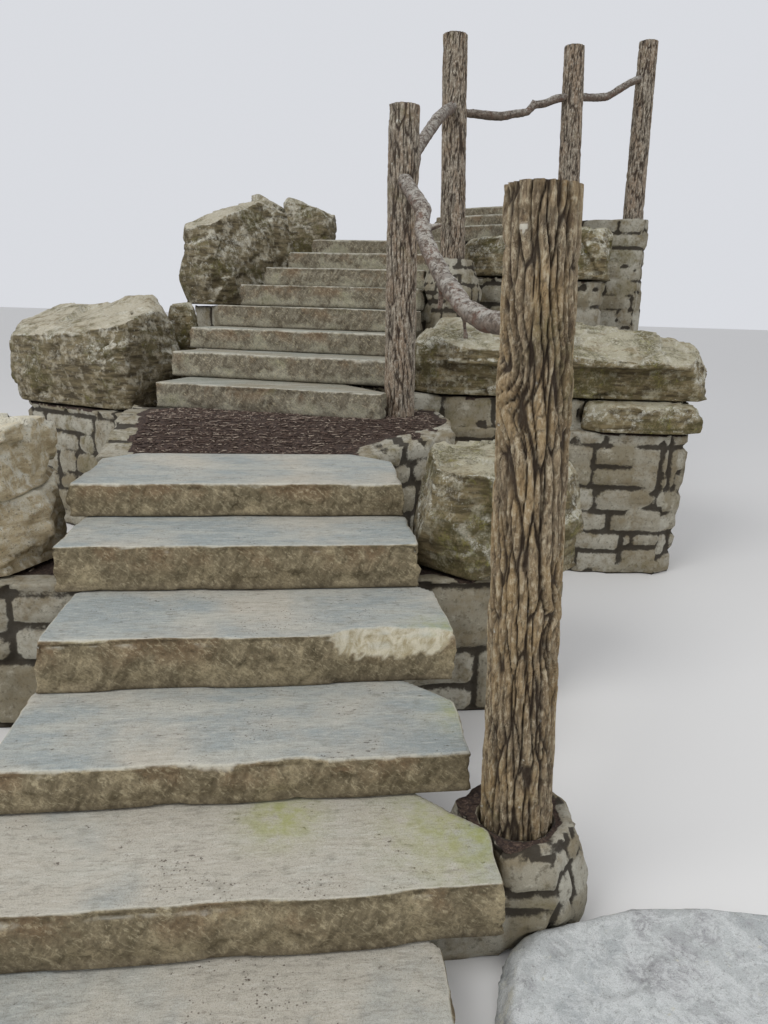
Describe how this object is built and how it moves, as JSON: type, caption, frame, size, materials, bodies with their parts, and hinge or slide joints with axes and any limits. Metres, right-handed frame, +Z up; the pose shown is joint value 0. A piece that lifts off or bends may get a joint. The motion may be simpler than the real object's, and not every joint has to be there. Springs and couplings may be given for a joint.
{
  "type": "outdoor stone steps",
  "caption": "Winding outdoor stone steps of rock-faced slabs with a landing, flanking boulders and a rustic handrail of bark logs and crooked branches.",
  "frame": {"origin": "on the floor, on the bed of the lowest slab, 60 mm behind the middle of its front edge", "axes": "+X to the right along the lowest slab's front edge, +Y up the hill across the lower flight, +Z up"},
  "size_m": [5.6381, 7.5606, 4.13],
  "materials": {
    "slab_stone": "rock-faced sandstone",
    "boulder_stone": "weathered, mossy",
    "packed_stone": "dry-laid rubble",
    "packed_fill": "compacted fines",
    "bark_log": "furrowed bark",
    "branch": "weathered bark with lichen"
  },
  "bodies": {
    "root": {"foot_rock": "boulder_stone", "landing_foundation": "packed_fill", "left_back_boulder": "boulder_stone", "left_chock_stone": "boulder_stone", "left_landing_boulder": "boulder_stone", "left_low_boulder": "boulder_stone", "left_low_under_boulder": "boulder_stone", "left_upper_boulder": "boulder_stone", "lower_foundation": "packed_stone", "lower_step_1": "slab_stone", "lower_step_2": "slab_stone", "lower_step_3": "slab_stone", "lower_step_4": "slab_stone", "lower_step_5": "slab_stone", "lower_step_6": "slab_stone", "post_1": "bark_log", "post_2": "bark_log", "post_3": "bark_log", "post_4": "bark_log", "post_5": "bark_log", "rail_1": "branch", "rail_2": "branch", "rail_3": "branch", "rail_4": "branch", "right_long_boulder": "boulder_stone", "right_low_boulder": "boulder_stone", "right_turn_boulder": "boulder_stone", "right_turn_end_boulder": "boulder_stone", "right_under_boulder": "boulder_stone", "turn_foundation": "packed_stone", "turn_step_1": "slab_stone", "turn_step_2": "slab_stone", "turn_step_3": "slab_stone", "upper_foundation": "packed_stone", "upper_step_1": "slab_stone", "upper_step_2": "slab_stone", "upper_step_3": "slab_stone", "upper_step_4": "slab_stone", "upper_step_5": "slab_stone", "upper_step_6": "slab_stone", "upper_step_7": "slab_stone", "upper_step_8": "slab_stone"}
  },
  "joints": []
}
